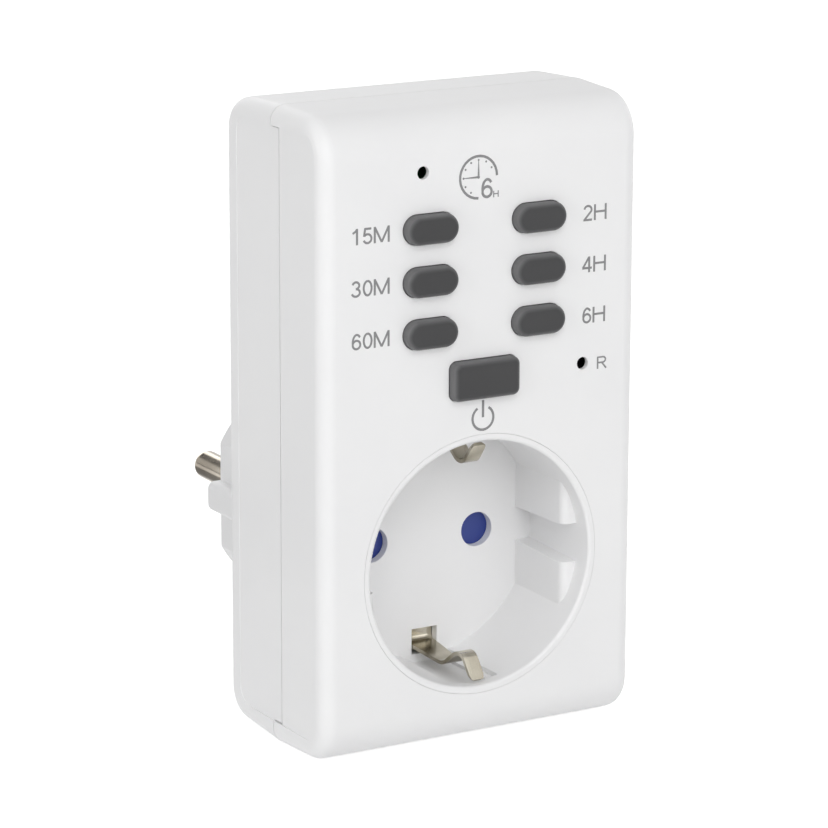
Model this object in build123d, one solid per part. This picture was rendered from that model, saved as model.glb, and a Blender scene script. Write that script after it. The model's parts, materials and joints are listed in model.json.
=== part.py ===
from build123d import *
import math
import os

# A plug-in countdown timer: a socket in front, its plug behind, seven buttons above the socket.
# Millimetres. The origin is the centre of the plug's end face, +Y points into the wall, +Z is up.

# Case
case_width = 56.3  # widest, at the seam between the shells
case_height = 100.3
case_depth = 31.3
front_depth = 15.2  # front face back to the seam
axis_height = 28.9  # plug axis above the lower edge
side_draft_deg = 1.2
end_draft_deg = 2.3
upper_front_edge = 6.7  # rounding between the front and the top
lower_front_edge = 6.0
rear_edge = 5.2
side_edge = 2.5  # smaller rounding that runs all the way round each side
inner_edge = 0.6
wall = 2.0
seam_gap = 0.2
overrun = 4.0  # how far a cutting shape runs past what it cuts

# Flat side panels, and the tongues that key the shells together there
panel_sink = 0.3
panel_front = 2.3  # front face back to the panel's front edge
panel_rear = 26.8  # front face back to the panel's rear edge
panel_foot = 3.8  # lower edge of the case up to the panel
panel_head = 3.0  # panel up to the upper edge of the case
panel_corner = 2.7
tongue_reach = 2.2
lip_reach = 1.5
lip_thickness = 0.9
lip_gap = 0.1
lip_corner = 2.0
lip_bore_corner = 1.2

# Pedestal and plug
pedestal_radius = 22.5
pedestal_height = 7.4
pedestal_draft_deg = 2.0
pedestal_round = 1.0
plug_radius = 18.5
plug_height = 17.5
plug_flat = 16.3  # axis to each flat
plug_wall = 2.0
plug_round = 0.6
plug_flange_width = 1.1
plug_flange_thickness = 1.5
plug_gap = 0.1
tongue_tip = 18.65  # axis to the tip of each guide tongue
tongue_height = 4.95
tongue_corner = 1.2
end_wall = 3.0
pin_spacing = 19.0
pin_radius = 2.4
pin_length = 19.0
pin_tip_round = 1.7
pin_collar = 2.8
pin_flange = 3.6
pin_flange_thickness = 1.2
pin_tail_radius = 1.5
pin_tail = 2.0  # the live pin's tail, behind its flange

# Socket well
well_radius = 19.5
well_depth = 17.4
rim_width = 1.1
ring_gap = 0.05
mouth_round = 0.5
floor_thickness = 1.5
well_wall = 1.9
flange_width = 2.4
flange_thickness = 1.6
skirt_height = 2.2
skirt_wall = 1.8
rib_face = 16.75  # axis to the flat face of each guide rib
rib_gap = 6.2  # between the upper and the lower rib, in front
rib_foot_gap = 5.4  # and at the well's floor
rib_setback = 3.4
rib_round = 1.2
hole_radius = 2.8
window_width = 4.6
window_near = 14.8
window_far = 19.0
channel_width = 6.0
channel_floor = 20.3
shelf_width = 8.8
shelf_floor = 19.75
channel_setback = 2.2

# Safety shutter
shutter_radius = 13.0
shutter_thickness = 1.7
shutter_half_deg = 21.0
shutter_hub = 4.0
shutter_gap = 0.1
pivot_radius = 2.0
running_gap = 0.05
spring_thickness = 0.3
spring_width = 1.3
spring_anchor_deg = 78.0
spring_touch = 11.0  # axis to where the spring meets the shutter

# Earth straps
strap_thickness = 0.6
strap_width = 4.4
strap_tip_width = 2.5
strap_bend = 1.2
crest_bend = 2.2
trough_bend = 3.2
strap_gap = 0.1
joggle_out = 10.6  # axis out to where the strap starts to step back into the carrier
joggle_in = 8.0
strap_arm = 17.5  # axis to the middle of each arm, where it leaves the base
trough_depth = 9.0  # front face back to each point of the clip
trough_height = 18.3  # and the axis out to it
crest_depth = 4.3
crest_height = 14.6
tip_depth = 1.0
tip_height = 18.9
plug_strap_width = 5.0
plug_strap_setback = 1.6
groove_width = 6.4
groove_floor = 17.1
link_radius = 1.5

# Contact carrier and socket contacts
plate_thickness = 2.0
entry_radius = 3.0
chamber_width = 8.2
chamber_height = 10.4
chamber_wall = 1.0
chamber_spare = 2.2  # behind the tip of a pin that is pushed home
carrier_screw_radius = 1.0
carrier_screw_length = 5.0
carrier_boss = 2.4
carrier_boss_place = 18.6  # axis out to each boss
carrier_boss_deg = 45.0
contact_thickness = 0.6
contact_width = 5.6
contact_spread = 3.4
contact_pinch = 2.5
contact_pinch_depth = 4.6
contact_mouth_depth = 1.2
contact_bend = 0.8
tab_width = 3.0
tab_thickness = 0.8
tab_reach = 2.2

# Buttons, and the push switches behind them
# Heights are shares of the face above the socket's rim, and what fits in a row is a share of the row
key_column = 9.5
key_row_shares = (0.648, 0.4905, 0.333)
key_length = 9.2
key_height_share = 0.594
power_length = 12.0
power_height_share = 0.787
power_row_share = 0.175
power_corner = 1.3
key_gap = 0.12
key_rise = 1.8
key_round = 1.0
key_flange = 0.85
key_flange_thickness = 1.0
key_stem = 1.6
key_stem_reach = 0.95
seat_gap = 0.05
switch_size_share = 0.75
switch_height = 3.5
switch_corner = 0.5
switch_well = 1.4
plunger_radius = 1.7
plunger_rise = 0.8
plunger_sink = 0.8
plunger_gap = 0.15
pinhole_radius = 1.0
pinhole_lip = 0.8
pinhole_recess = 2.2
reset_inset = 10.25  # side of the case in to the reset hole
reset_row_share = 0.1785
lamp_x = -10.6
lamp_row_share = 0.8155

# Control board and what it carries
# Their heights are shares of the board, and how deep they are is a share of the room behind it
board_inset = 3.1  # side of the case in to the board
board_thickness = 1.6
board_gap = 0.5
board_head = 3.5  # lamp up to the board's upper edge
post_radius = 2.6
post_inset = 5.6  # side of the case in to the middle of each post
post_row_shares = (0.303, 0.6)
board_screw_radius = 1.1
board_screw_length = 5.0
board_screw_head = 2.0
board_screw_head_height = 1.3
lamp_radius = 1.5
lamp_height = 5.3
lamp_flange = 1.9
lamp_flange_height = 1.0
relay_width = 18.5
relay_depth_share = 0.85
relay_height_share = 0.357
relay_side_gap = 7.35  # side of the board in to the relay
relay_row_share = 0.536
dropper_width = 8.0
dropper_depth_share = 0.78
dropper_height_share = 0.428
dropper_x = -12.4
dropper_row_share = 0.512
rectifier_width = 4.6
rectifier_depth = 1.6
rectifier_height = 4.0
rectifier_x = 13.4
rectifier_row_share = 0.19
chip_width = 8.6
chip_depth = 1.5
chip_height = 3.9
chip_x = 10.0
chip_row_share = 0.857
component_edge = 0.4
smoother_width_share = 0.19
smoother_depth_share = 0.667
smoother_round = 0.5
smoother_x = -5.0
smoother_row_share = 0.821

# Wires
wire_radius = 0.8
wire_bend = 1.8
wire_lead = 2.4
wire_space = 1.2  # clear room beside a wire
live_lead = 3.4

# Case screws
screw_radius = 1.45
screw_gap = 0.05
screw_head = 2.75
screw_head_height = 2.0
screw_length = 14.0
screw_inset = 6.6  # side of the case in to the screws
screw_head_drop = 7.0  # upper edge of the case down to the upper screws
screw_foot = 7.0  # lower edge of the case up to the lower screws
screw_sink = 9.8
screw_boss = 3.2
screw_column = 3.8
screw_clear = 0.25
boss_gap = 0.3

# Planes and heights that several pieces share
shoulder_y = -plug_height
rear_y = shoulder_y - pedestal_height
front_y = rear_y - case_depth
seam_y = front_y + front_depth
inner_y = front_y + wall
base_z = -axis_height
top_z = base_z + case_height
mid_z = (base_z + top_z) / 2
panel_low = base_z + panel_foot
panel_high = top_z - panel_head
side_slope = math.tan(math.radians(side_draft_deg))
end_slope = math.tan(math.radians(end_draft_deg))
rim_radius = well_radius + rim_width
flange_radius = rim_radius + flange_width
body_radius = well_radius + well_wall
floor_y = front_y + well_depth
floor_back_y = floor_y + floor_thickness
carrier_y = floor_back_y + skirt_height
plate_back_y = carrier_y + plate_thickness
chamber_end_y = floor_y + pin_length + chamber_spare
tab_end_y = chamber_end_y + tab_reach
pin_x = pin_spacing / 2
key_back_y = inner_y + seat_gap + key_flange_thickness + key_stem_reach
switch_front_y = key_back_y + plunger_rise
board_y = switch_front_y + switch_height
board_back_y = board_y + board_thickness
face_room = top_z - rim_radius
key_rows = [rim_radius + share * face_room for share in key_row_shares]
row_pitch = key_rows[0] - key_rows[1]
key_height = row_pitch * key_height_share
switch_size = row_pitch * switch_size_share
power_height = row_pitch * power_height_share
power_z = rim_radius + power_row_share * face_room
reset_z = rim_radius + reset_row_share * face_room
lamp_z = rim_radius + lamp_row_share * face_room
board_half_width = case_width / 2 - board_inset
relay_x = board_half_width - relay_side_gap - relay_width / 2
reset_x = case_width / 2 - reset_inset
board_low = flange_radius + board_gap
board_high = lamp_z + board_head
board_height = board_high - board_low
back_room = rear_y - wall - board_back_y
screw_x = case_width / 2 - screw_inset
post_x = case_width / 2 - post_inset
post_rows = [rim_radius + share * face_room for share in post_row_shares]
screw_top = top_z - screw_head_drop
screw_low = base_z + screw_foot
head_seat_y = rear_y - screw_sink
pin_flange_y = -end_wall - pin_flange_thickness
strap_y = carrier_y + strap_gap + strap_thickness / 2
strap_step_y = floor_back_y + strap_gap + strap_thickness / 2
plug_strap_y = shoulder_y - plug_wall - strap_bend
screw_places = [(x, z) for x in (-screw_x, screw_x) for z in (screw_low, screw_top)]
post_places = [(x, z) for x in (-post_x, post_x) for z in post_rows]
boss_angle = math.radians(carrier_boss_deg)
boss_x = carrier_boss_place * math.cos(boss_angle)
boss_z = carrier_boss_place * math.sin(boss_angle)
carrier_places = [(boss_x, boss_z), (-boss_x, -boss_z)]
pieces = {}


def face_at(y):
    """The upright plane at y, with X to the right and Z up."""
    return Plane.XZ.offset(-y)


def slab(outline, y_from, y_to):
    """An outline drawn in X and Z, run back from y_from to y_to."""
    return extrude(face_at(y_from) * outline, amount=y_to - y_from, dir=(0, 1, 0))


def disc(place, radius):
    return Pos(*place) * Circle(radius)


def bar(place, radius, y_from, y_to):
    return slab(disc(place, radius), y_from, y_to)


def block(x_range, y_range, z_range):
    size = [high - low for low, high in (x_range, y_range, z_range)]
    centre = [(low + high) / 2 for low, high in (x_range, y_range, z_range)]
    return Pos(*centre) * Box(*size)


def both_sides(shape):
    return shape + mirror(shape, about=Plane.YZ)


def top_and_bottom(shape):
    return shape + mirror(shape, about=Plane.XY)


def turned(profile):
    """A profile drawn in X and Y, spun about the Y axis."""
    return revolve(profile, axis=Axis.Y)


def strip(points, radius, thickness, width):
    """Sheet metal bent along points given in Y and Z, centred on X."""
    line = FilletPolyline(*points, radius=radius)
    face = Plane.YZ * trace(line, line_width=thickness)
    return extrude(face, amount=width / 2, both=True)


# The two shells are one drafted, hollow form that is parted along a keyed seam
def case_half(end_y, upper_edge, lower_edge, edge, inset):
    """One half of the case: its side view, cut to its plan, with each side rounded all the way round."""
    run = abs(end_y - seam_y)
    low, high = base_z + inset, top_z - inset
    rise = run * end_slope
    side_view = Polygon((seam_y, low), (end_y, low + rise), (end_y, high - rise), (seam_y, high), align=None)
    side_view = fillet(side_view.vertices().sort_by_distance((end_y, low, 0))[0], lower_edge)
    side_view = fillet(side_view.vertices().sort_by_distance((end_y, high, 0))[0], upper_edge)
    half_width = case_width / 2 - inset
    end_half = half_width - run * side_slope
    plan = Polygon(
        (-half_width, seam_y), (-end_half, end_y), (end_half, end_y), (half_width, seam_y), align=None
    )
    half = extrude(Plane.YZ * side_view, amount=case_width, both=True)
    half &= extrude(plan, amount=case_height, both=True)
    around = [e for e in half.edges() if abs(e.center().X) > end_half / 2]
    return fillet([e for e in around if abs(e.center().Y - seam_y) > wall], edge)


def seam_outline(inset, corner):
    outline = RectangleRounded(case_width - 2 * inset, case_height - 2 * inset, corner)
    return face_at(seam_y) * Pos(0, mid_z) * outline


def side_panel():
    y_range = (front_y + panel_front, front_y + panel_rear)
    outline = RectangleRounded(y_range[1] - y_range[0], panel_high - panel_low, panel_corner)
    outline = Pos(sum(y_range) / 2, (panel_low + panel_high) / 2) * outline
    place = Plane.YZ.offset(case_width / 2 - panel_sink)
    return both_sides(extrude(place * outline, amount=overrun))


def front_zone(gap):
    """The space in front of the keyed seam, moved back by gap."""
    reach = case_width / 2 + overrun
    inner = case_width / 2 - wall - lip_thickness - lip_gap
    zone = block((-reach, reach), (front_y - overrun, seam_y + gap), (base_z - overrun, top_z + overrun))
    key = block(
        (inner, reach + overrun),
        (seam_y - tongue_reach + gap, seam_y + overrun),
        (panel_low + gap, panel_high - gap),
    )
    return zone - both_sides(key)


outer = case_half(front_y, upper_front_edge, lower_front_edge, side_edge, 0)
outer += case_half(rear_y, rear_edge, rear_edge, side_edge, 0)
inner = case_half(inner_y, upper_front_edge - wall, lower_front_edge - wall, inner_edge, wall)
inner += case_half(rear_y - wall, rear_edge - wall, rear_edge - wall, inner_edge, wall)
case = outer - inner - side_panel()


# Buttons: a rounded cap in its slot, a flange behind the wall and a stem on the switch
def oval(grow):
    return SlotOverall(key_length + 2 * grow, key_height + 2 * grow)


def oblong(grow):
    return RectangleRounded(power_length + 2 * grow, power_height + 2 * grow, power_corner + grow)


def button(outline, place):
    flange_y = inner_y + seat_gap
    cap = slab(outline(-key_gap), front_y - key_rise, flange_y)
    cap = fillet(cap.faces().sort_by(Axis.Y)[0].edges(), key_round)
    flange = slab(outline(key_flange - key_gap), flange_y, flange_y + key_flange_thickness)
    stem = bar((0, 0), key_stem, flange_y + key_flange_thickness, key_back_y)
    return Pos(place[0], 0, place[1]) * (cap + flange + stem)


def push_switch(place):
    body = slab(Rectangle(switch_size, switch_size), switch_front_y, board_y)
    body = chamfer(body.edges().filter_by(Axis.Y), switch_corner)
    body -= bar((0, 0), plunger_radius + plunger_gap, switch_front_y, switch_front_y + switch_well)
    return Pos(place[0], 0, place[1]) * body


def plunger(place):
    return bar(place, plunger_radius, key_back_y, switch_front_y + plunger_sink)


keys = {}
for row, (left, right) in enumerate([("15_min", "2_hour"), ("30_min", "4_hour"), ("60_min", "6_hour")]):
    keys[left] = (-key_column, key_rows[row])
    keys[right] = (key_column, key_rows[row])
slots = Sketch() + [Pos(*place) * oval(0) for place in keys.values()]
for name, place in keys.items():
    pieces[f"button_{name}"] = button(oval, place)
keys["power"] = (0, power_z)
slots += Pos(*keys["power"]) * oblong(0)
pieces["button_power"] = button(oblong, keys["power"])
keys["reset"] = (reset_x, reset_z)
for name, place in keys.items():
    pieces[f"switch_{name}"] = push_switch(place)
    pieces[f"plunger_{name}"] = plunger(place)


# Front shell: bosses for the case screws, posts for the board, and every opening in the face
def front_shell():
    shell = case & front_zone(0)
    for place in screw_places:
        shell += bar(place, screw_boss, inner_y - wall / 2, seam_y - boss_gap) & outer
    for place in post_places:
        shell += bar(place, post_radius, inner_y - wall / 2, board_y)
    openings = slots + disc((0, 0), rim_radius + ring_gap)
    for place in ((lamp_x, lamp_z), (reset_x, reset_z)):
        openings += disc(place, pinhole_radius)
        shell -= bar(place, pinhole_recess, front_y + pinhole_lip, inner_y)
    shell -= slab(openings, front_y - overrun, inner_y + overrun / 2)
    for place in screw_places:
        shell -= bar(place, screw_radius + screw_gap, head_seat_y - screw_length - boss_gap, seam_y)
    for place in post_places:
        tip_y = board_back_y - board_screw_length
        shell -= bar(place, board_screw_radius + screw_gap, tip_y - boss_gap, board_y)
    return shell


# Plug body: a pedestal with the plug on it, set in the rear shell from inside by its flange
def plug_outline(radius, flat):
    return Circle(radius) & Rectangle(2 * flat, 2 * radius)


def plug_outside():
    tongues = RectangleRounded(2 * tongue_tip, tongue_height, tongue_corner)
    plug = slab(plug_outline(plug_radius, plug_flat) + tongues, shoulder_y - plug_wall, 0)
    plug = fillet(plug.faces().sort_by(Axis.Y)[-1].edges(), plug_round)
    pedestal = extrude(
        face_at(rear_y) * Circle(pedestal_radius),
        amount=shoulder_y - rear_y,
        dir=(0, 1, 0),
        taper=pedestal_draft_deg,
    )
    pedestal = fillet(pedestal.edges().sort_by(Axis.Y)[-1], pedestal_round)
    seat_y = rear_y - wall - seat_gap
    flange_y = seat_y - plug_flange_thickness
    neck = bar((0, 0), pedestal_radius, flange_y, rear_y)
    flange = bar((0, 0), pedestal_radius + plug_flange_width, flange_y, seat_y)
    gate_half = pin_x + wire_radius + wire_space
    gate = block((-gate_half, gate_half), (flange_y, seat_y), (0, pedestal_radius + overrun))
    return pedestal + plug + neck + flange - gate


def plug_inside():
    """The hollow of plug and pedestal, with the pin holes, earth grooves and strap slots."""
    pedestal_bore = pedestal_radius - plug_wall - pedestal_round
    plug_bore = plug_outline(groove_floor - plug_wall, plug_flat - plug_wall)
    hollow = bar((0, 0), pedestal_bore, rear_y - wall - overrun, shoulder_y - plug_wall)
    hollow += slab(plug_bore, shoulder_y - plug_wall - overrun, -end_wall)
    for x in (-pin_x, pin_x):
        hollow += bar((x, 0), pin_collar + running_gap, -end_wall - overrun, overrun)
    groove_half = groove_width / 2
    groove = block((-groove_half, groove_half), (shoulder_y, overrun), (groove_floor, plug_radius + overrun))
    slot_half = plug_strap_width / 2 + seat_gap
    thick = strap_thickness / 2 + seat_gap
    slot = block(
        (-slot_half, slot_half),
        (shoulder_y - plug_wall - overrun, shoulder_y + overrun),
        (strap_arm - thick, strap_arm + thick),
    )
    return hollow + top_and_bottom(groove + slot)


# Rear shell: locating lip, screw columns, and the hole for the plug body
def lip():
    """A lip inside the seam that slides into the front shell."""
    root = seam_outline(wall / 2, lip_corner)
    tip = seam_outline(wall + lip_gap, lip_corner)
    bore = seam_outline(wall + lip_gap + lip_thickness, lip_bore_corner)
    base = extrude(root - bore, amount=wall, dir=(0, 1, 0))
    ring = extrude(tip - bore, amount=lip_reach, dir=(0, -1, 0))
    return Pos(0, seam_gap, 0) * base + ring + Pos(0, lip_reach, 0) * ring


def rear_shell():
    shell = case - front_zone(seam_gap) + lip()
    for place in screw_places:
        shell += bar(place, screw_column, seam_y + seam_gap, rear_y - wall / 2) & outer
    shell -= bar((0, 0), pedestal_radius + plug_gap, rear_y - wall - overrun, rear_y + overrun)
    for place in screw_places:
        shell -= bar(place, screw_radius + screw_clear, seam_y - overrun, rear_y)
        shell -= bar(place, screw_head + screw_clear, head_seat_y, rear_y + overrun)
    return shell


# Socket well: a cup with a flush rim, held behind the front wall by its flange
def guide_ribs():
    """Flat-faced ribs either side, with a gap between upper and lower that narrows to the floor."""
    chord = Circle(well_radius + well_wall / 2) - Rectangle(2 * rib_face, 2 * body_radius)
    rib_y = front_y + rib_setback
    gap = Polygon(
        (rib_y, -rib_gap / 2),
        (floor_y, -rib_foot_gap / 2),
        (floor_y, rib_foot_gap / 2),
        (rib_y, rib_gap / 2),
        align=None,
    )
    ribs = slab(chord, rib_y, floor_y) - extrude(Plane.YZ * gap, amount=body_radius, both=True)
    inner = ribs.edges().filter_by(Axis.Z).group_by(Axis.Y)[0]
    return fillet([e for e in inner if abs(e.center().X) < rib_face + rib_round], rib_round)


def socket_well():
    cup = bar((0, 0), rim_radius, front_y, floor_back_y)
    cup += bar((0, 0), flange_radius, inner_y + seat_gap, inner_y + seat_gap + flange_thickness)
    cup += bar((0, 0), body_radius, inner_y + seat_gap + flange_thickness, carrier_y)
    cup -= bar((0, 0), body_radius - skirt_wall, floor_back_y, carrier_y)
    for place in carrier_places:
        cup += bar(place, carrier_boss, floor_back_y, carrier_y)
    cup &= bar((0, 0), flange_radius, front_y, carrier_y) - slab(
        Circle(flange_radius) - Circle(body_radius), inner_y + seat_gap + flange_thickness, carrier_y
    )
    cup += bar((0, 0), pivot_radius, floor_y, floor_back_y + 2 * shutter_gap + shutter_thickness)
    recess = bar((0, 0), well_radius, front_y, floor_y)
    for width, height in ((channel_width, channel_floor), (shelf_width, shelf_floor)):
        channel = block((-width / 2, width / 2), (front_y + channel_setback, floor_y), (0, height))
        recess += top_and_bottom(channel)
    cup -= recess
    mouth = cup.edges().filter_by(GeomType.CIRCLE).group_by(Axis.Y)[0].sort_by(SortBy.RADIUS)[0]
    cup = fillet(mouth, mouth_round)
    cup += guide_ribs()
    holes = disc((-pin_x, 0), hole_radius) + disc((pin_x, 0), hole_radius)
    cup -= slab(holes, floor_y, floor_back_y)
    window_half = window_width / 2
    window = block(
        (-window_half, window_half), (floor_y - overrun / 2, floor_back_y), (window_near, window_far)
    )
    cup -= top_and_bottom(window)
    for place in carrier_places:
        tip_y = plate_back_y - carrier_screw_length
        cup -= bar(place, carrier_screw_radius + screw_gap, tip_y - boss_gap, carrier_y)
    return cup


# Safety shutter: two lobes over the pin holes, turning on a stub behind the well's floor
def shutter():
    rise = shutter_radius * math.tan(math.radians(shutter_half_deg))
    lobe = Polygon((0, 0), (shutter_radius, -rise), (shutter_radius, rise), align=None)
    outline = Circle(shutter_radius) & (lobe + mirror(lobe, about=Plane.YZ))
    outline += Circle(shutter_hub)
    outline -= Circle(pivot_radius + running_gap)
    front = floor_back_y + shutter_gap
    return slab(outline, front, front + shutter_thickness)


def shutter_spring():
    """A leaf from the well's skirt to the lower edge of the right lobe."""
    anchor_angle = math.radians(-spring_anchor_deg)
    touch_angle = math.radians(-shutter_half_deg)
    skirt = body_radius - skirt_wall - spring_thickness
    anchor = Vector(skirt * math.cos(anchor_angle), skirt * math.sin(anchor_angle))
    touch = Vector(spring_touch * math.cos(touch_angle), spring_touch * math.sin(touch_angle))
    touch += Vector(math.sin(touch_angle), -math.cos(touch_angle)) * (spring_thickness + seat_gap)
    outline = trace(Line(anchor, touch), line_width=spring_thickness)
    front = floor_back_y + shutter_gap
    return slab(outline, front, front + spring_width)


# Earth: a strap with a sprung clip at each end, the plug's side contacts and the link between them
def earth_strap():
    clip = [
        (front_y + tip_depth, tip_height),
        (front_y + crest_depth, crest_height),
        (front_y + trough_depth, trough_height),
        (strap_step_y, strap_arm),
        (strap_step_y, joggle_out),
        (strap_y, joggle_in),
    ]
    bends = [crest_bend, trough_bend, strap_bend, strap_bend, strap_bend]
    points = clip + [(y, -z) for y, z in reversed(clip)]
    strap = strip(points, bends + bends[::-1], strap_thickness, strap_width)
    half, tip_half = strap_width / 2, strap_tip_width / 2
    back_y = strap_y + strap_thickness
    taper = Polygon(
        (-half, back_y),
        (-half, floor_y),
        (-tip_half, front_y + crest_depth),
        (-tip_half, front_y),
        (tip_half, front_y),
        (tip_half, front_y + crest_depth),
        (half, floor_y),
        (half, back_y),
        align=None,
    )
    strap &= extrude(taper, amount=case_height, both=True)
    reach = 2 * (tip_height + strap_thickness / 2)
    tongue = slab(SlotOverall(reach, strap_tip_width, rotation=90), front_y - overrun, front_y + crest_depth)
    behind = block((-half, half), (front_y + crest_depth, back_y), (-reach, reach))
    return strap & (tongue + behind)


def plug_earth_strap():
    arm = [(-plug_strap_setback, strap_arm), (plug_strap_y, strap_arm)]
    points = arm + [(y, -z) for y, z in reversed(arm)]
    return strip(points, strap_bend, strap_thickness, plug_strap_width)


# Contact carrier: a plate behind the shutter with a chamber for each contact
def contact_carrier():
    plate = bar((0, 0), body_radius, carrier_y, plate_back_y)
    for x in (-pin_x, pin_x):
        chamber = Pos(x, 0) * Rectangle(chamber_width, chamber_height)
        hollow = Pos(x, 0) * Rectangle(chamber_width - 2 * chamber_wall, chamber_height - 2 * chamber_wall)
        plate += slab(chamber - hollow, plate_back_y, chamber_end_y)
        plate -= bar((x, 0), entry_radius, carrier_y, plate_back_y)
    groove_half = strap_width / 2 + strap_gap
    groove_reach = strap_arm + strap_thickness + strap_gap
    plate -= block(
        (-groove_half, groove_half),
        (carrier_y, strap_y + strap_thickness / 2 + strap_gap),
        (-groove_reach, groove_reach),
    )
    plate -= bar((0, 0), link_radius + strap_gap, carrier_y, plate_back_y)
    for place in carrier_places:
        plate -= bar(place, carrier_screw_radius + screw_clear, carrier_y, plate_back_y)
    return plate


def socket_contact(x):
    """Two leaves that grip a pin, joined by a base with a tab."""
    base_y = chamber_end_y - contact_thickness
    leaf = [
        (plate_back_y + contact_mouth_depth, contact_spread),
        (plate_back_y + contact_pinch_depth, contact_pinch),
        (base_y, contact_spread),
    ]
    points = leaf + [(y, -z) for y, z in reversed(leaf)]
    clip = strip(points, contact_bend, contact_thickness, contact_width)
    half, thick = tab_width / 2, tab_thickness / 2
    clip += block((-half, half), (base_y, tab_end_y), (-thick, thick))
    return Pos(x, 0, 0) * clip


def plug_pin(x, tail_y):
    pin = bar((x, 0), pin_radius, 0, pin_length)
    pin = fillet(pin.edges().sort_by(Axis.Y)[-1], pin_tip_round)
    pin += bar((x, 0), pin_collar, -end_wall, 0)
    pin += bar((x, 0), pin_flange, pin_flange_y, -end_wall)
    return pin + bar((x, 0), pin_tail_radius, tail_y, pin_flange_y)


# Control board, with the lamp in front and the power parts behind
def control_board():
    middle = (board_low + board_high) / 2
    outline = Pos(0, middle) * Rectangle(2 * board_half_width, board_high - board_low)
    for side in (-1, 1):
        outline -= Pos(side * screw_x, screw_top) * Rectangle(
            2 * (screw_column + board_gap), 2 * (screw_column + board_gap)
        )
    for place in post_places:
        outline -= disc(place, board_screw_radius + screw_gap)
    return slab(outline, board_y, board_back_y)


def lamp():
    tip_y = board_y - lamp_height
    dome_y = tip_y + lamp_radius
    flange_y = board_y - lamp_flange_height
    profile = Polygon(
        (0, dome_y),
        (lamp_radius, dome_y),
        (lamp_radius, flange_y),
        (lamp_flange, flange_y),
        (lamp_flange, board_y),
        (0, board_y),
        align=None,
    )
    dome = Pos(0, dome_y, 0) * Sphere(lamp_radius)
    return Pos(lamp_x, 0, lamp_z) * (turned(profile) + dome)


def on_board(share):
    return board_low + share * board_height


def component(width, depth, height, x, row_share):
    """A moulded block that stands on the back of the board."""
    outline = Pos(x, on_board(row_share)) * Rectangle(width, height)
    body = slab(outline, board_back_y, board_back_y + depth)
    return chamfer(body.faces().sort_by(Axis.Y)[-1].edges(), component_edge)


def smoothing_capacitor():
    place = (smoother_x, on_board(smoother_row_share))
    radius = smoother_width_share * board_height / 2
    can = bar(place, radius, board_back_y, board_back_y + smoother_depth_share * back_room)
    return fillet(can.edges().sort_by(Axis.Y)[-1], smoother_round)


# Wires run back out of the plug, up inside the rear shell and forward to the board
def wire(points):
    path = FilletPolyline(*points, radius=wire_bend)
    return sweep(Plane(origin=path @ 0, z_dir=path % 0) * Circle(wire_radius), path=path)


pitch = 2 * wire_radius + wire_space / 2
near_row = chamber_height / 2 + wire_space + wire_radius
far_row = near_row + pitch
near_rise_y = plate_back_y + wire_space / 2 + wire_radius
far_rise_y = near_rise_y + pitch - wire_space / 4
near_end = board_low + wire_space + 2 * wire_radius
far_end = near_end + pitch + wire_space
live_y = pin_flange_y - pin_tail
loop_y = live_y - live_lead
turn_y = tab_end_y + wire_lead


def up_to_board(x, start, y_row, row, rise_y, end):
    run = [(x, y_row, row), (x, rise_y, row), (x, rise_y, end), (x, board_back_y, end)]
    return wire(start + run)


# Screws: a rounded head and a plain shank
def screw(place, shank, length, head, head_height, seat_y):
    body = bar(place, head, seat_y, seat_y + head_height)
    body = fillet(body.edges().sort_by(Axis.Y)[-1], head_height / 2)
    return body + bar(place, shank, seat_y - length, seat_y)


pieces["front_shell"] = front_shell()
pieces["rear_shell"] = rear_shell()
pieces["plug_body"] = plug_outside() - plug_inside()
pieces["socket_well"] = socket_well()
pieces["safety_shutter"] = shutter()
pieces["shutter_spring"] = shutter_spring()
pieces["earth_strap"] = earth_strap()
pieces["plug_earth_strap"] = plug_earth_strap()
link_y = strap_y + strap_thickness / 2
pieces["earth_link"] = bar((0, 0), link_radius, link_y, plug_strap_y - strap_thickness / 2)
pieces["contact_carrier"] = contact_carrier()
pieces["socket_contact_left"] = socket_contact(-pin_x)
pieces["socket_contact_right"] = socket_contact(pin_x)
pieces["plug_pin_left"] = plug_pin(-pin_x, live_y)
pieces["plug_pin_right"] = plug_pin(pin_x, tab_end_y)
pieces["control_board"] = control_board()
pieces["lamp"] = lamp()
pieces["relay"] = component(
    relay_width, relay_depth_share * back_room, relay_height_share * board_height, relay_x, relay_row_share
)
pieces["dropper_capacitor"] = component(
    dropper_width,
    dropper_depth_share * back_room,
    dropper_height_share * board_height,
    dropper_x,
    dropper_row_share,
)
pieces["bridge_rectifier"] = component(
    rectifier_width, rectifier_depth, rectifier_height, rectifier_x, rectifier_row_share
)
pieces["microcontroller"] = component(chip_width, chip_depth, chip_height, chip_x, chip_row_share)
pieces["smoothing_capacitor"] = smoothing_capacitor()
pieces["live_wire"] = up_to_board(
    -pin_x, [(-pin_x, live_y, 0), (-pin_x, loop_y, 0)], loop_y, far_row, far_rise_y, far_end
)
pieces["switched_wire"] = up_to_board(
    -pin_x, [(-pin_x, tab_end_y, 0), (-pin_x, turn_y, 0)], turn_y, near_row, near_rise_y, near_end
)
pieces["neutral_wire"] = up_to_board(
    pin_x, [(pin_x, loop_y, pin_tail_radius)], loop_y, far_row, far_rise_y, far_end
)
pieces["case_screws"] = Compound([
    screw(place, screw_radius, screw_length, screw_head, screw_head_height, head_seat_y)
    for place in screw_places
])
pieces["board_screws"] = Compound([
    screw(
        place,
        board_screw_radius,
        board_screw_length,
        board_screw_head,
        board_screw_head_height,
        board_back_y,
    )
    for place in post_places
])
pieces["carrier_screws"] = Compound([
    screw(
        place,
        carrier_screw_radius,
        carrier_screw_length,
        board_screw_head,
        board_screw_head_height,
        plate_back_y,
    )
    for place in carrier_places
])

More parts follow.
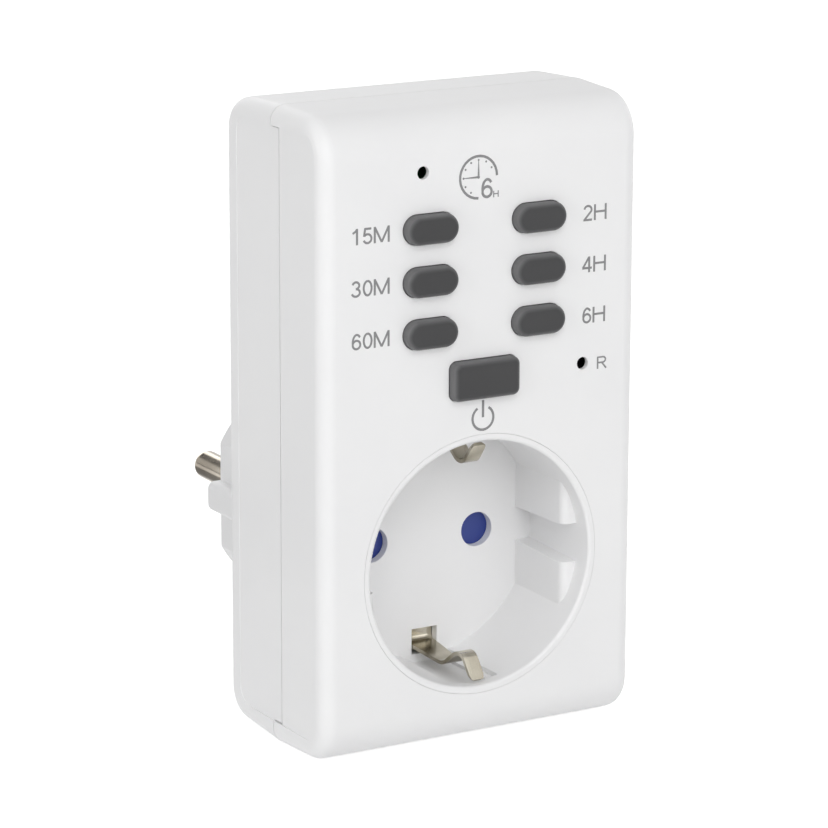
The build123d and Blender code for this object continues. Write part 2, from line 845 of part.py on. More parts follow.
os.makedirs("parts", exist_ok=True)
for name, piece in pieces.items():
    export_step(piece, f"parts/{name}.step")
    print(name, round(piece.volume, 2), len(piece.solids()))
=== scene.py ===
import json
import math

import bpy
from mathutils import Matrix, Vector


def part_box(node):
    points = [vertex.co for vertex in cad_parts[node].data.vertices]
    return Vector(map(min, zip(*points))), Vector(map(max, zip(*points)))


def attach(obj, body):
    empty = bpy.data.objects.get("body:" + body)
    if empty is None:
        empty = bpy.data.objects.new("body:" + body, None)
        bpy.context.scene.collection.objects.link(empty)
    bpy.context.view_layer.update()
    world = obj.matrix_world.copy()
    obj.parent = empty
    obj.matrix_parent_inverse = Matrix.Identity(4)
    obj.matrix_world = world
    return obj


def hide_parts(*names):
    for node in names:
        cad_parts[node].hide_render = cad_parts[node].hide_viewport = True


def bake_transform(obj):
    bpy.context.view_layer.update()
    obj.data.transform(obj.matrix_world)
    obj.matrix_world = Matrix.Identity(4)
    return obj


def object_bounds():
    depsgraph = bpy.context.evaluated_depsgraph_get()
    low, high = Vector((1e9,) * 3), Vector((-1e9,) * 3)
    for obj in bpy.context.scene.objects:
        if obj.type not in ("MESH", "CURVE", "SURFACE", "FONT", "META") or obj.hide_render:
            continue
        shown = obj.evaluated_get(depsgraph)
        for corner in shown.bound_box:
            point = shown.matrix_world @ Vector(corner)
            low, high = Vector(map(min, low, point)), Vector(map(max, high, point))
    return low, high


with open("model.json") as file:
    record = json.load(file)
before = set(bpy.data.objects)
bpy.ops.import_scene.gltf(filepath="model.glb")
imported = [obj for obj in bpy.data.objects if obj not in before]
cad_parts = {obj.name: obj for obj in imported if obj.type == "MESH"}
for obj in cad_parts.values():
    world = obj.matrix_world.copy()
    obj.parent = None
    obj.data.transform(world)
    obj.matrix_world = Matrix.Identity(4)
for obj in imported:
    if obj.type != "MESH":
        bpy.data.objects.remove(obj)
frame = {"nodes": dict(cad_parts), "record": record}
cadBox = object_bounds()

mm = 0.001
nodes = frame["nodes"]
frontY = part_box("front_shell")[0].y
print("frame loaded:", len(nodes), "nodes")


def linearColour(hexCode):
    channels = [int(hexCode[i:i + 2], 16) / 255 for i in (1, 3, 5)]
    return tuple(c / 12.92 if c <= 0.04045 else ((c + 0.055) / 1.055) ** 2.4 for c in channels) + (1.0,)


def greyColour(shade):
    return (shade, shade, shade, 1.0)


def addNode(tree, kind, settings, links=()):
    node = tree.nodes.new(kind)
    for key, value in settings.items():
        if isinstance(key, int) or key in node.inputs:
            node.inputs[key].default_value = value
        else:
            setattr(node, key, value)
    for socket, source in dict(links).items():
        tree.links.new(source, node.inputs[socket])
    return node


def startMaterial(name, settings):
    material = bpy.data.materials.new(name)
    material.use_nodes = True
    tree = material.node_tree
    tree.nodes.clear()
    shader = addNode(tree, "ShaderNodeBsdfPrincipled", settings)
    addNode(tree, "ShaderNodeOutputMaterial", {}, {"Surface": shader.outputs["BSDF"]})
    place = addNode(tree, "ShaderNodeTexCoord", {})
    return material, tree, shader, place.outputs["Object"]


# moulded plastics: a spark-eroded tool leaves an even grain, a slow drift in shade and a soft sheen
# the grain of the real tool is finer; it is drawn this coarse so that it shows
mouldings = {
    # case: clean satin white
    "whiteAbsSparkGrain": {"dark": "#EDEDEE", "light": "#F4F4F4", "rough": (0.42, 0.52),
                           "grainMm": 0.35, "depthMm": 0.006},
    # keys: textured dark faces with little gloss; every face turned away from the front is painted paler, a
    # painted sheen
    "darkGreyAbsSparkGrain": {"dark": "#3A3A3B", "light": "#444445", "rough": (0.42, 0.56),
                              "grainMm": 0.32, "depthMm": 0.016, "gloss": 0.25, "paintedSheenSides": "#69696A"},
    # shutter: deep blue, smoother than the case
    "bluePbtShutter": {"dark": "#22347E", "light": "#2C4296", "rough": (0.3, 0.4),
                       "grainMm": 0.5, "depthMm": 0.005},
    # push switches: dull black bodies with smooth grey plungers
    "blackPbtSwitch": {"dark": "#1C1C1D", "light": "#262627", "rough": (0.45, 0.6),
                       "grainMm": 0.4, "depthMm": 0.01},
    "greyPomPlunger": {"dark": "#5C5C5D", "light": "#6A6A6B", "rough": (0.36, 0.48),
                       "grainMm": 0.4, "depthMm": 0.006},
    # contact carrier: unpainted, a little yellow
    "offWhitePbtCarrier": {"dark": "#D6D3C9", "light": "#DEDCD3", "rough": (0.42, 0.52),
                           "grainMm": 0.4, "depthMm": 0.01},
    # parts on the board: glossy covers and sleeves, and a dull chip
    "relayCoverPbt": {"dark": "#25529B", "light": "#2E62B4", "rough": (0.24, 0.34),
                      "grainMm": 0.6, "depthMm": 0.004},
    "capacitorBoxPbt": {"dark": "#D2AE40", "light": "#DDBB52", "rough": (0.26, 0.36),
                        "grainMm": 0.6, "depthMm": 0.004},
    "capacitorSleevePvc": {"dark": "#26262C", "light": "#33333A", "rough": (0.2, 0.3),
                           "grainMm": 0.8, "depthMm": 0.004},
    "chipEpoxy": {"dark": "#19191A", "light": "#222223", "rough": (0.55, 0.7),
                  "grainMm": 0.25, "depthMm": 0.01},
    # wires: soft sheen of extruded insulation
    "brownWirePvc": {"dark": "#5E3620", "light": "#6F4329", "rough": (0.34, 0.44),
                     "grainMm": 0.6, "depthMm": 0.006},
    "blueWirePvc": {"dark": "#28549A", "light": "#3263AD", "rough": (0.34, 0.44),
                    "grainMm": 0.6, "depthMm": 0.006},
    # board: lacquered green
    "boardLaminate": {"dark": "#28603D", "light": "#32704A", "rough": (0.3, 0.42),
                      "grainMm": 0.7, "depthMm": 0.008},
    # lamp: dark and glossy while it is off
    "smokedLampEpoxy": {"dark": "#1E2422", "light": "#27302D", "rough": (0.1, 0.16),
                        "grainMm": 0.8, "depthMm": 0.002},
}
moulded = {"ior": 1.53, "gloss": 0.5, "driftMm": 22, "driftDetail": 3.0, "grainDetail": 2.0, "bump": 1.0,
           "faceToSide": (-0.97, -0.55)}  # normal's Y where a key's face ends and where its side begins
finishes = {}
for name, look in mouldings.items():
    material, tree, shader, place = startMaterial(
        name, {"IOR": moulded["ior"], "Specular IOR Level": look.get("gloss", moulded["gloss"])})
    drift = addNode(tree, "ShaderNodeTexNoise",
                    {"Scale": 1 / (moulded["driftMm"] * mm), "Detail": moulded["driftDetail"]},
                    {"Vector": place})
    shade = addNode(tree, "ShaderNodeValToRGB", {}, {"Fac": drift.outputs["Fac"]})
    shade.color_ramp.elements[0].color = linearColour(look["dark"])
    shade.color_ramp.elements[1].color = linearColour(look["light"])
    grain = addNode(tree, "ShaderNodeTexNoise",
                    {"Scale": 1 / (look["grainMm"] * mm), "Detail": moulded["grainDetail"]},
                    {"Vector": place})
    sheen = addNode(tree, "ShaderNodeMapRange", {"To Min": look["rough"][0], "To Max": look["rough"][1]},
                    {"Value": grain.outputs["Fac"]})
    bump = addNode(tree, "ShaderNodeBump", {"Strength": moulded["bump"], "Distance": look["depthMm"] * mm},
                   {"Height": grain.outputs["Fac"]})
    colour = shade.outputs["Color"]
    # painted sheen: going by the normal's Y, the faces of a key that turn away from the front get the paler
    # colour in place of the sheen that light gives them
    if "paintedSheenSides" in look:
        faceEnd, sideStart = moulded["faceToSide"]
        facing = addNode(tree, "ShaderNodeNewGeometry", {})
        axes = addNode(tree, "ShaderNodeSeparateXYZ", {}, {"Vector": facing.outputs["Normal"]})
        paintedSheenShare = addNode(tree, "ShaderNodeMapRange", {"From Min": faceEnd, "From Max": sideStart},
                         {"Value": axes.outputs["Y"]})
        both = addNode(tree, "ShaderNodeMix", {"data_type": "RGBA", 7: linearColour(look["paintedSheenSides"])},
                       {0: paintedSheenShare.outputs["Result"], 6: colour})  # sockets 0, 6 and 7: factor and two colours
        colour = both.outputs[2]
    tree.links.new(colour, shader.inputs["Base Color"])
    tree.links.new(sheen.outputs["Result"], shader.inputs["Roughness"])
    tree.links.new(bump.outputs["Normal"], shader.inputs["Normal"])
    finishes[name] = material

# plated metals: fine drawing lines along the strip, and a cloudy plating that is warmer in places; on the
# nickel strip the cloud also carries painted shade and painted highlights
metals = {
    # earth clips and straps: bright, warm nickel; the wide span of its cloud, from dark brown to pale, is
    # partly plating tone and partly painted shade and painted highlights
    "nickelPlatedStrip": {"dark": "#7C7460", "light": "#D6D0C1", "rough": (0.1, 0.26),
                          "lineMm": 0.25, "depthMm": 0.01},
    # plug pins: a darker and more even nickel
    "nickelPlatedPin": {"dark": "#8C8376", "light": "#B3AB9E", "rough": (0.14, 0.26),
                        "lineMm": 0.3, "depthMm": 0.002},
    # socket contacts: yellow, rolled
    "brassStrip": {"dark": "#B08A3C", "light": "#D2AE62", "rough": (0.2, 0.36),
                   "lineMm": 0.3, "depthMm": 0.004},
    # leaf spring: bright plain grey
    "springSteelWire": {"dark": "#A6A6A2", "light": "#C8C8C4", "rough": (0.2, 0.3),
                        "lineMm": 0.3, "depthMm": 0.003},
    # screws: a dull bluish grey
    "zincPlatedSteel": {"dark": "#9A9C9E", "light": "#BEC1C4", "rough": (0.26, 0.4),
                        "lineMm": 0.5, "depthMm": 0.006},
}
plated = {"cloudMm": 5, "cloudDetail": 1.0, "cloudEdges": (0.3, 0.7), "lineDetail": 2.0,
          "lineStretch": (1.0, 0.06, 0.06), "bump": 1.0}
for name, look in metals.items():
    material, tree, shader, place = startMaterial(name, {"Metallic": 1.0})
    stretch = addNode(tree, "ShaderNodeMapping", {"Scale": plated["lineStretch"]}, {"Vector": place})
    lines = addNode(tree, "ShaderNodeTexNoise",
                    {"Scale": 1 / (look["lineMm"] * mm), "Detail": plated["lineDetail"]},
                    {"Vector": stretch.outputs["Vector"]})
    cloud = addNode(tree, "ShaderNodeTexNoise",
                    {"Scale": 1 / (plated["cloudMm"] * mm), "Detail": plated["cloudDetail"]},
                    {"Vector": place})
    shade = addNode(tree, "ShaderNodeValToRGB", {}, {"Fac": cloud.outputs["Fac"]})
    for stop, tone, edge in zip(shade.color_ramp.elements, ("dark", "light"), plated["cloudEdges"]):
        stop.position = edge
        stop.color = linearColour(look[tone])
    sheen = addNode(tree, "ShaderNodeMapRange", {"To Min": look["rough"][0], "To Max": look["rough"][1]},
                    {"Value": lines.outputs["Fac"]})
    bump = addNode(tree, "ShaderNodeBump", {"Strength": plated["bump"], "Distance": look["depthMm"] * mm},
                   {"Height": lines.outputs["Fac"]})
    tree.links.new(shade.outputs["Color"], shader.inputs["Base Color"])
    tree.links.new(sheen.outputs["Result"], shader.inputs["Roughness"])
    tree.links.new(bump.outputs["Normal"], shader.inputs["Normal"])
    finishes[name] = material

# pad-printed ink: a thin matt film, a little uneven where the pad lifted
ink = {"dark": "#7E7E7F", "light": "#919192", "ior": 1.5, "rough": 0.62, "liftMm": 0.4, "liftDetail": 3.0}
material, tree, shader, place = startMaterial("greyPadInk", {"IOR": ink["ior"], "Roughness": ink["rough"]})
lift = addNode(tree, "ShaderNodeTexNoise", {"Scale": 1 / (ink["liftMm"] * mm), "Detail": ink["liftDetail"]},
               {"Vector": place})
shade = addNode(tree, "ShaderNodeValToRGB", {}, {"Fac": lift.outputs["Fac"]})
shade.color_ramp.elements[0].color = linearColour(ink["dark"])
shade.color_ramp.elements[1].color = linearColour(ink["light"])
tree.links.new(shade.outputs["Color"], shader.inputs["Base Color"])
finishes["greyPadInk"] = material

finishOfSlot = {
    "case_plastic": "whiteAbsSparkGrain",
    "button_plastic": "darkGreyAbsSparkGrain",
    "switch_body": "blackPbtSwitch",
    "plunger_plastic": "greyPomPlunger",
    "shutter_plastic": "bluePbtShutter",
    "spring_steel": "springSteelWire",
    "nickel_strip": "nickelPlatedStrip",
    "carrier_plastic": "offWhitePbtCarrier",
    "contact_brass": "brassStrip",
    "pin_nickel": "nickelPlatedPin",
    "board_laminate": "boardLaminate",
    "lamp_lens": "smokedLampEpoxy",
    "relay_case": "relayCoverPbt",
    "capacitor_box": "capacitorBoxPbt",
    "capacitor_sleeve": "capacitorSleevePvc",
    "chip_black": "chipEpoxy",
    "wire_brown": "brownWirePvc",
    "wire_blue": "blueWirePvc",
    "screw_steel": "zincPlatedSteel",
}
for part in frame["record"]["subparts"]:
    nodes[part["node"]].material_slots[0].material = finishes[finishOfSlot[part["material_slot"]]]
print("materials:", len(finishes))


def deselectAll():
    if bpy.context.object and bpy.context.object.mode != "OBJECT":
        bpy.ops.object.mode_set(mode="OBJECT")
    bpy.ops.object.select_all(action="DESELECT")


def pickOnly(piece):
    deselectAll()
    piece.select_set(True)
    bpy.context.view_layer.objects.active = piece


def applyPlace():
    bpy.ops.object.transform_apply(location=True, rotation=True, scale=True)


# in edit mode nothing stays selected, so that faces or edges can then be picked in code
def clearPicks(kind):
    bpy.ops.object.mode_set(mode="EDIT")
    bpy.ops.mesh.select_mode(type=kind)
    bpy.ops.mesh.select_all(action="DESELECT")
    bpy.ops.object.mode_set(mode="OBJECT")


def dress(piece, finish):
    applyPlace()
    piece.data.materials.clear()
    piece.data.materials.append(finishes[finish])


# case screws: rounded heads with a cross recess, deep in their columns
screws = {"headMm": 2.75, "headHighMm": 2.0, "headSides": 40, "edgeMm": 0.75, "edgeSteps": 5,
          "shankMm": 1.45, "shankSides": 24, "shankUpShare": 0.2,  # how far up the head the shank reaches
          "slotLongMm": 3.3, "slotWideMm": 0.85, "slotDeepMm": 1.3, "slotTaper": 0.45,
          "turnsDeg": (14, 52, 78, 33), "smoothDeg": 35}
facingLimit = 0.9  # a normal's part along an axis, above which a face counts as facing that way
low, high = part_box("case_screws")
head, headHigh = screws["headMm"] * mm, screws["headHighMm"] * mm
deselectAll()
bpy.ops.mesh.primitive_cylinder_add(vertices=screws["headSides"], radius=head, depth=headHigh,
                                    location=(0, high.y - headHigh / 2, 0), rotation=(math.pi / 2, 0, 0))
screw = bpy.context.object
applyPlace()
clearPicks("FACE")
for face in screw.data.polygons:
    face.select = face.normal.y > facingLimit
bpy.ops.object.mode_set(mode="EDIT")
bpy.ops.mesh.bevel(offset=screws["edgeMm"] * mm, segments=screws["edgeSteps"], affect="EDGES")
bpy.ops.object.mode_set(mode="OBJECT")
slotLong, slotWide, taper = screws["slotLongMm"], screws["slotWideMm"], screws["slotTaper"]
for acrossX, acrossZ in ((slotLong, slotWide), (slotWide, slotLong)):
    deselectAll()
    bpy.ops.mesh.primitive_cube_add(size=mm, location=(0, high.y, 0),
                                    scale=(acrossX, 2 * screws["slotDeepMm"], acrossZ))
    slotCut = bpy.context.object
    applyPlace()
    for face in slotCut.data.polygons:
        face.select = face.normal.y < -facingLimit
    bpy.ops.object.mode_set(mode="EDIT")
    bpy.ops.mesh.select_mode(type="FACE")
    bpy.ops.transform.resize(value=(taper, 1, taper))
    bpy.ops.object.mode_set(mode="OBJECT")
    bpy.context.view_layer.objects.active = screw
    cut = screw.modifiers.new("recess", "BOOLEAN")
    cut.operation, cut.object = "DIFFERENCE", slotCut
    bpy.ops.object.modifier_apply(modifier="recess")
    pickOnly(slotCut)
    bpy.ops.object.delete()
deselectAll()
shankTop, shankLow = high.y - headHigh * (1 - screws["shankUpShare"]), low.y
bpy.ops.mesh.primitive_cylinder_add(vertices=screws["shankSides"], radius=screws["shankMm"] * mm,
                                    depth=shankTop - shankLow, location=(0, (shankTop + shankLow) / 2, 0),
                                    rotation=(math.pi / 2, 0, 0))
screw.select_set(True)
bpy.context.view_layer.objects.active = screw
bpy.ops.object.join()
applyPlace()
places = [(x, z) for x in (low.x + head, high.x - head) for z in (low.z + head, high.z - head)]
copies = []
for (x, z), turn in zip(places, screws["turnsDeg"]):
    pickOnly(screw)
    bpy.ops.object.duplicate()
    copies.append(bpy.context.object)
    copies[-1].rotation_euler = (0, math.radians(turn), 0)
    copies[-1].location = (x, 0, z)
    applyPlace()
pickOnly(screw)
bpy.ops.object.delete()
for copy in copies:
    copy.select_set(True)
bpy.context.view_layer.objects.active = copies[0]
bpy.ops.object.join()
screw = bpy.context.object
screw.name = "crossRecessScrews"
bpy.ops.object.shade_smooth_by_angle(angle=math.radians(screws["smoothDeg"]))
dress(screw, "zincPlatedSteel")
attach(screw, "case")
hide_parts("case_screws")
print("case screws:", len(copies))

# the shutter's leaf spring: a straight strip from one end at the well's skirt to its free end by the shutter
leaf = {"fromMm": (4.01, -18.88), "toMm": (10.14, -4.27), "thickMm": 0.3, "cuts": 24,
        "edgeMm": 0.05, "edgeSteps": 2, "smoothDeg": 35}  # its ends are given in x and z
low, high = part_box("shutter_spring")
(fromX, fromZ), (toX, toZ) = leaf["fromMm"], leaf["toMm"]
leafLong, leafY = math.hypot(toX - fromX, toZ - fromZ) * mm, (low.y + high.y) / 2
deselectAll()
bpy.ops.mesh.primitive_cube_add(size=1, scale=(leafLong, high.y - low.y, leaf["thickMm"] * mm))
spring = bpy.context.object
spring.name = "shutterLeafSpring"
applyPlace()
clearPicks("EDGE")
for edge in spring.data.edges:
    first, last = (spring.data.vertices[index].co.x for index in edge.vertices)
    edge.select = abs(first - last) > leafLong / 2
bpy.ops.object.mode_set(mode="EDIT")
bpy.ops.mesh.subdivide(number_cuts=leaf["cuts"])
bpy.ops.object.mode_set(mode="OBJECT")
edges = spring.modifiers.new("edges", "BEVEL")
edges.width, edges.segments, edges.limit_method = leaf["edgeMm"] * mm, leaf["edgeSteps"], "ANGLE"
bpy.ops.object.modifier_apply(modifier="edges")
spring.rotation_euler = (0, -math.atan2(toZ - fromZ, toX - fromX), 0)
spring.location = ((fromX + toX) / 2 * mm, leafY, (fromZ + toZ) / 2 * mm)
applyPlace()
bpy.ops.object.shade_smooth_by_angle(angle=math.radians(leaf["smoothDeg"]))
dress(spring, "springSteelWire")
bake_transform(spring)
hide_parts("shutter_spring")
print("leaf spring points:", len(spring.data.vertices))

# printed signs: each line is a run of points on the face, in millimetres, and its pen widths
arcs = {"stepDeg": 12, "leastSteps": 8}


def arcLine(centre, reach, fromDeg, toDeg):
    steps = max(arcs["leastSteps"], int(abs(toDeg - fromDeg) / arcs["stepDeg"]))
    turns = [math.radians(fromDeg + (toDeg - fromDeg) * i / steps) for i in range(steps + 1)]
    return [(centre[0] + reach[0] * math.cos(t), centre[1] + reach[1] * math.sin(t)) for t in turns]


# plain upright signs, in shares of their cap height; a sharp corner starts a new line
signShares = {
    "0": {"advance": 0.78, "lines": [arcLine((0.39, 0.5), (0.27, 0.44), 90, 450)]},
    "1": {"advance": 0.78, "lines": [[(0.44, 0.0), (0.44, 1.0)], [(0.14, 0.72), (0.34, 0.83), (0.44, 0.97)]]},
    "2": {"advance": 0.78, "lines": [arcLine((0.38, 0.7), (0.26, 0.24), 172, -28) + [(0.12, 0.07)],
                                     [(0.06, 0.06), (0.68, 0.06)]]},
    "3": {"advance": 0.78, "lines": [arcLine((0.36, 0.73), (0.23, 0.21), 165, -90),
                                     arcLine((0.36, 0.29), (0.27, 0.23), 90, -168)]},
    "4": {"advance": 0.78, "lines": [[(0.52, 0.0), (0.52, 1.0)], [(0.5, 0.96), (0.06, 0.29)],
                                     [(0.02, 0.28), (0.72, 0.28)]]},
    "5": {"advance": 0.78, "lines": [[(0.64, 0.94), (0.18, 0.94)], [(0.22, 0.98), (0.14, 0.47)],
                                     arcLine((0.38, 0.33), (0.27, 0.27), 138, -160)]},
    "6": {"advance": 0.78, "lines": [arcLine((0.4, 0.32), (0.26, 0.26), 180, 540),
                                     arcLine((0.42, 0.46), (0.28, 0.48), 40, 190)]},
    "M": {"advance": 1.16, "lines": [[(0.1, 0.0), (0.1, 1.0)], [(0.1, 0.98), (0.58, 0.04)],
                                     [(0.58, 0.04), (1.06, 0.98)], [(1.06, 0.0), (1.06, 1.0)]]},
    "H": {"advance": 1.01, "lines": [[(0.11, 0.0), (0.11, 1.0)], [(0.9, 0.0), (0.9, 1.0)],
                                     [(0.11, 0.53), (0.9, 0.53)]]},
    "R": {"advance": 1.01, "lines": [[(0.12, 0.0), (0.12, 1.0)],
                                     [(0.12, 0.94), (0.54, 0.94)]
                                     + arcLine((0.6, 0.72), (0.25, 0.22), 90, -90) + [(0.12, 0.5)],
                                     [(0.5, 0.5), (0.92, 0.0)]]},
}
printing = {"filmMm": 0.02, "penShare": 0.145, "penSteps": 3}  # the pen's width is a share of the cap height
labels = {  # words, left end, foot and cap height on the face
    "label15M": ("15M", -22.95, 52.2, 2.47),
    "label30M": ("30M", -22.95, 44.3, 2.47),
    "label60M": ("60M", -22.95, 36.3, 2.47),
    "label2H": ("2H", 17.6, 51.95, 2.47),
    "label4H": ("4H", 17.6, 43.9, 2.47),
    "label6H": ("6H", 17.6, 35.9, 2.47),
    "labelReset": ("R", 20.45, 28.45, 1.95),
}


def wordLines(words, left, foot, cap, pen):
    lines = []
    for sign in words:
        for line in signShares[sign]["lines"]:
            lines.append(([(left + x * cap, foot + z * cap) for x, z in line], (pen, pen)))
        left += signShares[sign]["advance"] * cap
    return lines


# strokes are swept with a round pen, then pressed to a film that lies on the face
def printMark(name, lines):
    deselectAll()
    bpy.ops.object.add(type="CURVE")
    mark = bpy.context.object
    mark.name = name
    mark.data.dimensions = "3D"
    mark.data.bevel_depth = mm / 2  # a point's radius is then its pen width in millimetres
    mark.data.bevel_resolution = printing["penSteps"]
    mark.data.use_fill_caps = True
    for points, pens in lines:
        spline = mark.data.splines.new("POLY")
        spline.points.add(len(points) - 1)
        for i, (x, z) in enumerate(points):
            spline.points[i].co = (x * mm, 0, z * mm, 1)
            spline.points[i].radius = pens[0] + (pens[1] - pens[0]) * i / (len(points) - 1)
    bpy.ops.object.convert(target="MESH")
    mark = bpy.context.object
    widest = max(max(pens) for points, pens in lines)
    mark.scale = (1, printing["filmMm"] / widest, 1)
    mark.location = (0, frontY - printing["filmMm"] * mm / 2, 0)
    dress(mark, "greyPadInk")
    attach(mark, "case")


for name, (words, left, foot, cap) in labels.items():
    printMark(name, wordLines(words, left, foot, cap, cap * printing["penShare"]))

# clock sign: an open ring with hour dots and two hands, and the longest time in its gap
clock = {"centre": (-1.0, 60.52), "ring": 3.22, "ringDeg": (0, 270), "pen": 0.42,
         "dots": 2.62, "dotWidth": 0.34, "dotHours": (1, 2, 7, 8, 9, 10, 11, 12), "hourDeg": 30,
         "hand": 2.5, "handPens": (0.36, 0.12), "hub": 0.24,
         "six": ("6", -0.72, 57.2, 3.05, 0.44), "sixUnit": ("H", 1.56, 57.2, 1.0, 0.19)}
cx, cz = clock["centre"]
lines = [(arcLine((cx, cz), (clock["ring"], clock["ring"]), *clock["ringDeg"]), (clock["pen"], clock["pen"]))]
for hour in clock["dotHours"]:
    turn = math.radians(90 - clock["hourDeg"] * hour)
    dot = (cx + clock["dots"] * math.cos(turn), cz + clock["dots"] * math.sin(turn))
    ring = clock["dotWidth"] / 4
    lines.append((arcLine(dot, (ring, ring), 0, 360), (clock["dotWidth"] / 2, clock["dotWidth"] / 2)))
for tip in ((cx, cz + clock["hand"]), (cx - clock["hand"], cz)):
    lines.append(([(cx, cz), tip], clock["handPens"]))
lines.append((arcLine((cx, cz), (clock["hub"] / 2, clock["hub"] / 2), 0, 360), (clock["hub"], clock["hub"])))
for words, left, foot, cap, pen in (clock["six"], clock["sixUnit"]):
    lines += wordLines(words, left, foot, cap, pen)
printMark("clockSign", lines)

# standby sign under the wide button
standby = {"centre": (0.07, 23.2), "ring": 1.85, "pen": 0.42, "openDeg": 32, "stroke": (23.3, 26.0)}
cx, cz = standby["centre"]
pens = (standby["pen"], standby["pen"])
ring = arcLine((cx, cz), (standby["ring"], standby["ring"]),
               90 + standby["openDeg"], 450 - standby["openDeg"])
stroke = [(cx, z) for z in standby["stroke"]]
printMark("standbySign", [(ring, pens), (stroke, pens)])
print("printed marks:", len(labels) + 2)

# camera solved from the photograph's own edges
view = {"place": (-291.494, -538.882, 165.905), "turn": -30.066, "rise": 13.404, "roll": 0.17,
        "lens": 166.142, "sensor": 36, "shift": (0.0, -0.06), "farEnd": 20}
turn, rise, roll = (math.radians(view[key]) for key in ("turn", "rise", "roll"))
back = Vector((math.sin(turn) * math.cos(rise), -math.cos(turn) * math.cos(rise), math.sin(rise)))
right = Vector((math.cos(turn), math.sin(turn), 0))
up = back.cross(right)
sideways = right * math.cos(roll) + up * math.sin(roll)
upright = up * math.cos(roll) - right * math.sin(roll)
deselectAll()
bpy.ops.object.camera_add()
camera = bpy.context.object
camera.data.lens = view["lens"]
camera.data.sensor_width = view["sensor"]
camera.data.sensor_fit = "HORIZONTAL"
camera.data.shift_x, camera.data.shift_y = view["shift"]
camera.data.clip_end = view["farEnd"]
aimed = Matrix((sideways, upright, back)).transposed().to_4x4()
camera.matrix_world = Matrix.Translation(Vector(view["place"]) * mm) @ aimed
bpy.context.scene.camera = camera


# rays that see the background, straight or in metal and gloss, find it white
def whiteRays(tree):
    path = addNode(tree, "ShaderNodeLightPath", {})
    near = addNode(tree, "ShaderNodeMath", {"operation": "MAXIMUM"},
                   {0: path.outputs["Is Camera Ray"], 1: path.outputs["Is Glossy Ray"]})
    seen = addNode(tree, "ShaderNodeMath", {"operation": "MAXIMUM"},
                   {0: near.outputs["Value"], 1: path.outputs["Is Transmission Ray"]})
    return seen.outputs["Value"]


# paper floor under and behind the part: matt white that still takes the shadow and glows to white far off
studio = {
    "floorSide": 6.0, "floorGapMm": 0.02, "floorShades": (0.9, 0.92), "floorRough": 0.9, "floorGloss": 0.1,
    "paperMm": 60, "paperDetail": 2.0, "glowNear": 0.72, "glowFar": 1.0, "glowReach": (0.5, 2.5),
    "worldStrength": 0.18, "whiteStrength": 1.0,
}
deselectAll()
bpy.ops.mesh.primitive_plane_add(size=studio["floorSide"],
                                 location=(0, 0, cadBox[0][2] - studio["floorGapMm"] * mm))
floor = bpy.context.object
floor.name = "studioFloor"
material, tree, shader, place = startMaterial(
    "paperSweep", {"Roughness": studio["floorRough"], "Specular IOR Level": studio["floorGloss"]})
paper = addNode(tree, "ShaderNodeTexNoise",
                {"Scale": 1 / (studio["paperMm"] * mm), "Detail": studio["paperDetail"]}, {"Vector": place})
shade = addNode(tree, "ShaderNodeValToRGB", {}, {"Fac": paper.outputs["Fac"]})
for stop, tone in zip(shade.color_ramp.elements, studio["floorShades"]):
    stop.color = greyColour(tone)
tree.links.new(shade.outputs["Color"], shader.inputs["Base Color"])
seen = whiteRays(tree)
away = addNode(tree, "ShaderNodeVectorMath", {"operation": "LENGTH"}, {0: place})
glowStart, glowFull = studio["glowReach"]
spread = addNode(tree, "ShaderNodeMapRange",
                 {"From Min": glowStart, "From Max": glowFull,
                  "To Min": studio["glowNear"], "To Max": studio["glowFar"]},
                 {"Value": away.outputs["Value"]})
lift = addNode(tree, "ShaderNodeMath", {"operation": "MULTIPLY"}, {0: seen, 1: spread.outputs["Result"]})
glow = addNode(tree, "ShaderNodeEmission", {"Color": greyColour(1)}, {"Strength": lift.outputs["Value"]})
both = addNode(tree, "ShaderNodeAddShader", {}, {0: shader.outputs["BSDF"], 1: glow.outputs["Emission"]})
output = next(node for node in tree.nodes if node.bl_idname == "ShaderNodeOutputMaterial")
tree.links.new(both.outputs["Shader"], output.inputs["Surface"])
floor.data.materials.append(material)

world = bpy.data.worlds.new("studioAir")
world.use_nodes = True
bpy.context.scene.world = world
tree = world.node_tree
tree.nodes.clear()
seen = whiteRays(tree)
air = addNode(tree, "ShaderNodeBackground", {"Color": greyColour(1), "Strength": studio["worldStrength"]})
white = addNode(tree, "ShaderNodeBackground", {"Color": greyColour(1), "Strength": studio["whiteStrength"]})
mixed = addNode(tree, "ShaderNodeMixShader", {},
                {0: seen, 1: air.outputs["Background"], 2: white.outputs["Background"]})
addNode(tree, "ShaderNodeOutputWorld", {}, {"Surface": mixed.outputs["Shader"]})

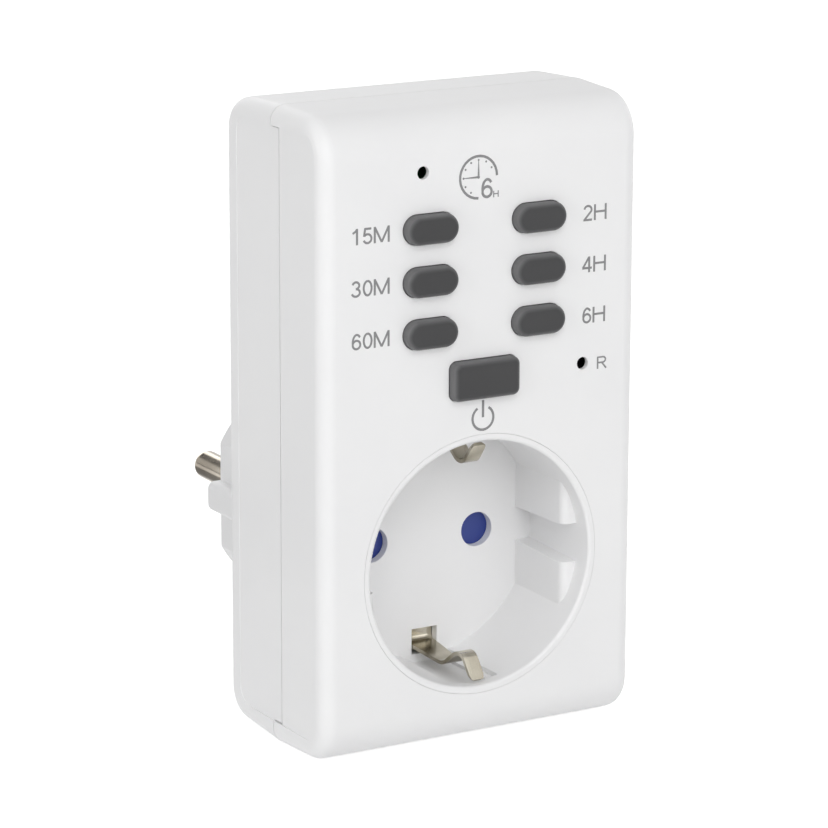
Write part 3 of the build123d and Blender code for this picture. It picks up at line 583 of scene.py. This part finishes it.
# soft boxes all round, in metres and watts, all turned to one point in the part
lampAim = Vector((0, -0.04, 0.02))
lamps = {
    "frontBox": {"place": (-0.45, -1.1, 0.7), "size": 0.8, "watts": 6.3},
    "lowBox": {"place": (0.3, -1.25, 0.15), "size": 0.8, "watts": 2.3},
    "highBox": {"place": (0.1, -0.85, 1.1), "size": 0.8, "watts": 2.6},
    "leftBox": {"place": (-1.3, -0.3, 0.4), "size": 0.8, "watts": 4.4},
    "topBox": {"place": (-0.1, 0.55, 1.3), "size": 0.9, "watts": 3.2},
    "rightBox": {"place": (1.35, 0.25, 0.45), "size": 0.8, "watts": 4.0},
    "backBox": {"place": (0.2, 1.4, 0.5), "size": 0.8, "watts": 4.0},
}
for name, lamp in lamps.items():
    deselectAll()
    bpy.ops.object.light_add(type="AREA", location=lamp["place"])
    light = bpy.context.object
    light.name = name
    light.data.size = lamp["size"]
    light.data.energy = lamp["watts"]
    light.rotation_euler = (Vector(lamp["place"]) - lampAim).to_track_quat("Z", "Y").to_euler()

# dark felt cards that only reflections see: they draw the dark bands on the bare metal
cards = {
    "highCard": {"place": (-0.25, 0.93, 0.54), "size": (0.8, 0.2), "shade": 0.02, "upright": True},
    "horizonCard": {"place": (-0.6, 0.95, 0.05), "size": (0.5, 0.04), "shade": 0.02, "upright": True},
    "floorCard": {"place": (-0.05, 0.09, -0.028), "size": (0.08, 0.09), "shade": 0.5, "upright": False},
}
for name, card in cards.items():
    deselectAll()
    bpy.ops.mesh.primitive_plane_add(size=1)
    flag = bpy.context.object
    flag.name = name
    flag.scale = (card["size"][0], card["size"][1], 1)
    if card["upright"]:
        flag.rotation_euler = Vector(card["place"]).to_track_quat("Z", "Y").to_euler()
    flag.location = card["place"]
    applyPlace()
    flag.visible_camera = flag.visible_diffuse = flag.visible_shadow = flag.visible_transmission = False
    material, tree, shader, place = startMaterial(name + "Felt", {
        "Base Color": greyColour(card["shade"]), "Roughness": 1.0, "Specular IOR Level": 0.0})
    flag.data.materials.append(material)
bpy.context.scene.view_settings.view_transform = "Standard"
print("studio ready")
